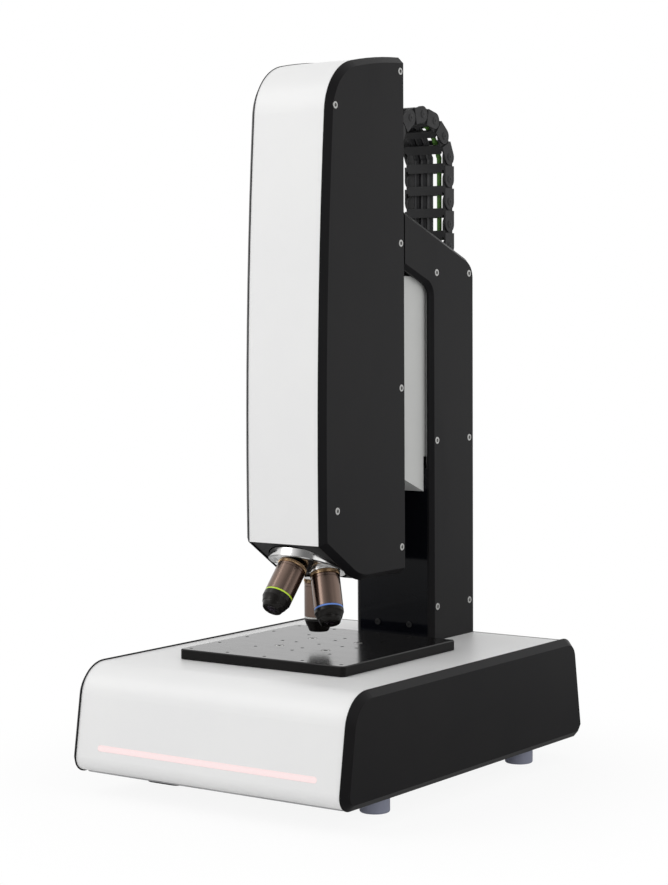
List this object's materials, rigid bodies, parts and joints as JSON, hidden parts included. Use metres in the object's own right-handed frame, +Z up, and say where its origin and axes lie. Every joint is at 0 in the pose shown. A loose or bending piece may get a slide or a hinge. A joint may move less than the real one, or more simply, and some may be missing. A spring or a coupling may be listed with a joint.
{
  "type": "confocal microscope",
  "caption": "Upright confocal microscope: tall narrow head with a revolving nosepiece over a motorised stage, lift column with a cable chain, and a broad rounded base.",
  "frame": {"origin": "on the floor under the middle of the base's outline", "axes": "+X to the right and +Z up; the front, with the light strip, faces -Y"},
  "size_m": [0.29, 0.3865, 0.6389],
  "materials": {
    "white_paint": "satin",
    "black_anodised": "satin",
    "black_paint": "satin",
    "gloss_black": "gloss",
    "light_grey_paint": "satin",
    "cast_grey": "matte",
    "aluminium_milled": "satin",
    "ground_steel": "satin",
    "stage_anodised": "gloss",
    "screw_steel": "satin",
    "chromed": "gloss",
    "objective_barrel": "satin",
    "chain_plastic": "matte",
    "cable_jackets": "matte",
    "blue_grey_rubber": "matte",
    "black_rubber": "matte",
    "black_plastic": "matte",
    "board_green": "satin",
    "lens_glass": "gloss",
    "disc_black": "gloss",
    "light_diffuser": "satin"
  },
  "bodies": {
    "stand": {"base_plate": "cast_grey", "base_cheek_right": "black_anodised", "base_cheek_left": "black_anodised", "base_cover": "white_paint", "light_strip": "light_diffuser", "base_rear_panel": "black_paint", "power_inlet": "black_plastic", "damping_feet": "blue_grey_rubber", "levelling_foot": "black_rubber", "y_rails": "ground_steel", "y_screw_stands": "aluminium_milled", "y_motor": "black_paint", "control_board": "board_green", "column_side_right": "black_anodised", "column_side_left": "black_anodised", "column_screws": "screw_steel", "column_core": "aluminium_milled", "column_front_panel": "gloss_black", "column_rear_panel": "black_paint", "column_top_cover": "black_paint", "lift_rails": "ground_steel", "lift_motor": "black_paint", "chain_column_leg": "chain_plastic", "column_cables": "cable_jackets"},
    "front_rear_stage": {"y_carriage": "aluminium_milled", "y_bearing_blocks": "ground_steel", "x_rails": "ground_steel", "x_motor": "black_paint"},
    "cross_stage": {"x_carriage": "aluminium_milled", "x_bearing_blocks": "ground_steel", "stage_plate": "stage_anodised", "stage_screws": "screw_steel"},
    "y_screw_body": {"y_screw": "ground_steel"},
    "x_screw_body": {"x_screw": "ground_steel"},
    "lift_screw_body": {"lift_screw": "ground_steel"},
    "head": {"head_side_right": "black_anodised", "head_side_left": "black_anodised", "head_cover": "white_paint", "head_underplate": "black_paint", "head_rear_panel": "black_paint", "head_spine": "aluminium_milled", "head_screws": "screw_steel", "lift_bracket": "light_grey_paint", "lift_bearing_blocks": "ground_steel", "nosepiece_holder": "black_paint", "optics_tube": "black_anodised", "tube_lens": "lens_glass", "beam_splitter": "black_anodised", "lamp_module": "aluminium_milled", "camera": "black_anodised", "disc_motor": "aluminium_milled", "chain_head_leg": "chain_plastic", "head_cables": "cable_jackets"},
    "turret": {"nosepiece": "chromed", "objective_white_ring": "objective_barrel", "objective_blue_ring": "objective_barrel", "objective_green_ring": "objective_barrel"},
    "disc": {"pinhole_disc": "disc_black"},
    "cable_loop": {"chain_loop": "chain_plastic", "loop_cables": "cable_jackets"}
  },
  "joints": [
    {"name": "stage_front_rear", "type": "slide", "parent": "stand", "child": "front_rear_stage", "axis": [0, 1, 0], "range_m": [-0.025, 0.025]},
    {"name": "stage_cross", "type": "slide", "parent": "front_rear_stage", "child": "cross_stage", "axis": [1, 0, 0], "range_m": [-0.025, 0.025]},
    {"name": "head_lift", "type": "slide", "parent": "stand", "child": "head", "axis": [0, 0, 1], "range_m": [-0.009, 0.0416]},
    {"name": "nosepiece_turn", "type": "hinge", "parent": "head", "child": "turret", "pos_m": [0, -0.026, 0.237], "axis": [0, -0.3584, -0.9336], "continuous": true},
    {"name": "disc_spin", "type": "hinge", "parent": "head", "child": "disc", "pos_m": [0, 0.001, 0.44], "axis": [0, 0, 1], "continuous": true},
    {"name": "y_screw_turn", "type": "hinge", "parent": "stand", "child": "y_screw_body", "pos_m": [0, -0.026, 0.0462], "axis": [0, 1, 0], "range_deg": [-902, 902]},
    {"name": "x_screw_turn", "type": "hinge", "parent": "front_rear_stage", "child": "x_screw_body", "pos_m": [0, -0.026, 0.0725], "axis": [1, 0, 0], "range_deg": [-902, 902]},
    {"name": "lift_screw_turn", "type": "hinge", "parent": "stand", "child": "lift_screw_body", "pos_m": [0, 0.106, 0.3], "axis": [0, 0, 1], "range_deg": [-326, 1499.6]},
    {"name": "cable_loop_roll", "type": "hinge", "parent": "stand", "child": "cable_loop", "pos_m": [0, 0.15625, 0.5582], "axis": [-1, 0, 0], "range_deg": [-5.76, 25.91]}
  ],
  "couplings": [
    {"joint": "y_screw_turn", "follows": "stage_front_rear", "rad_per_m": 628.32},
    {"joint": "x_screw_turn", "follows": "stage_cross", "rad_per_m": 628.32},
    {"joint": "lift_screw_turn", "follows": "head_lift", "rad_per_m": 628.32},
    {"joint": "cable_loop_roll", "follows": "head_lift", "rad_per_m": 10.788}
  ]
}
